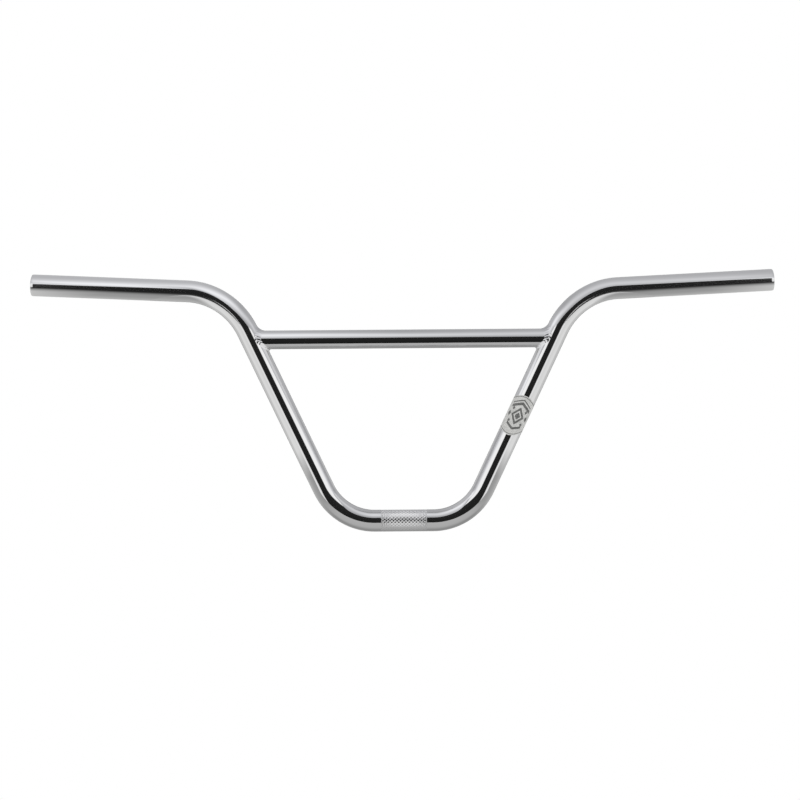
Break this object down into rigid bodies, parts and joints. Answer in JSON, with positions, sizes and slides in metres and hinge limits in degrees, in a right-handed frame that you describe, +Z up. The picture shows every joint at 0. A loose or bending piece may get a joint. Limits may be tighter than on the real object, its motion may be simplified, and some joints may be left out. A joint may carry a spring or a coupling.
{
  "type": "bmx handlebar",
  "caption": "Chromed steel BMX handlebar: one bent tube with raked legs and swept grips, a welded crossbar between the legs, and a knurled stem clamp seat.",
  "frame": {"origin": "centre of the stem clamp seat, on the seat's axis", "axes": "+X along the clamp seat towards the grip on the rider's left, +Y the way the grips sweep back, towards the rider, +Z up the rise"},
  "size_m": [0.7618, 0.062, 0.2654],
  "materials": {
    "tube_chrome": "mirror chrome plate over polished steel, with the clamp seat's middle knurled",
    "crossbar_chrome": "mirror chrome plate over polished steel",
    "weld_chrome": "chrome plate over a rippled weld bead",
    "sticker_film": null
  },
  "bodies": {
    "root": {"main_tube": "tube_chrome", "crossbar": "crossbar_chrome", "left_weld": "weld_chrome", "right_weld": "weld_chrome", "sticker": "sticker_film"}
  },
  "joints": []
}
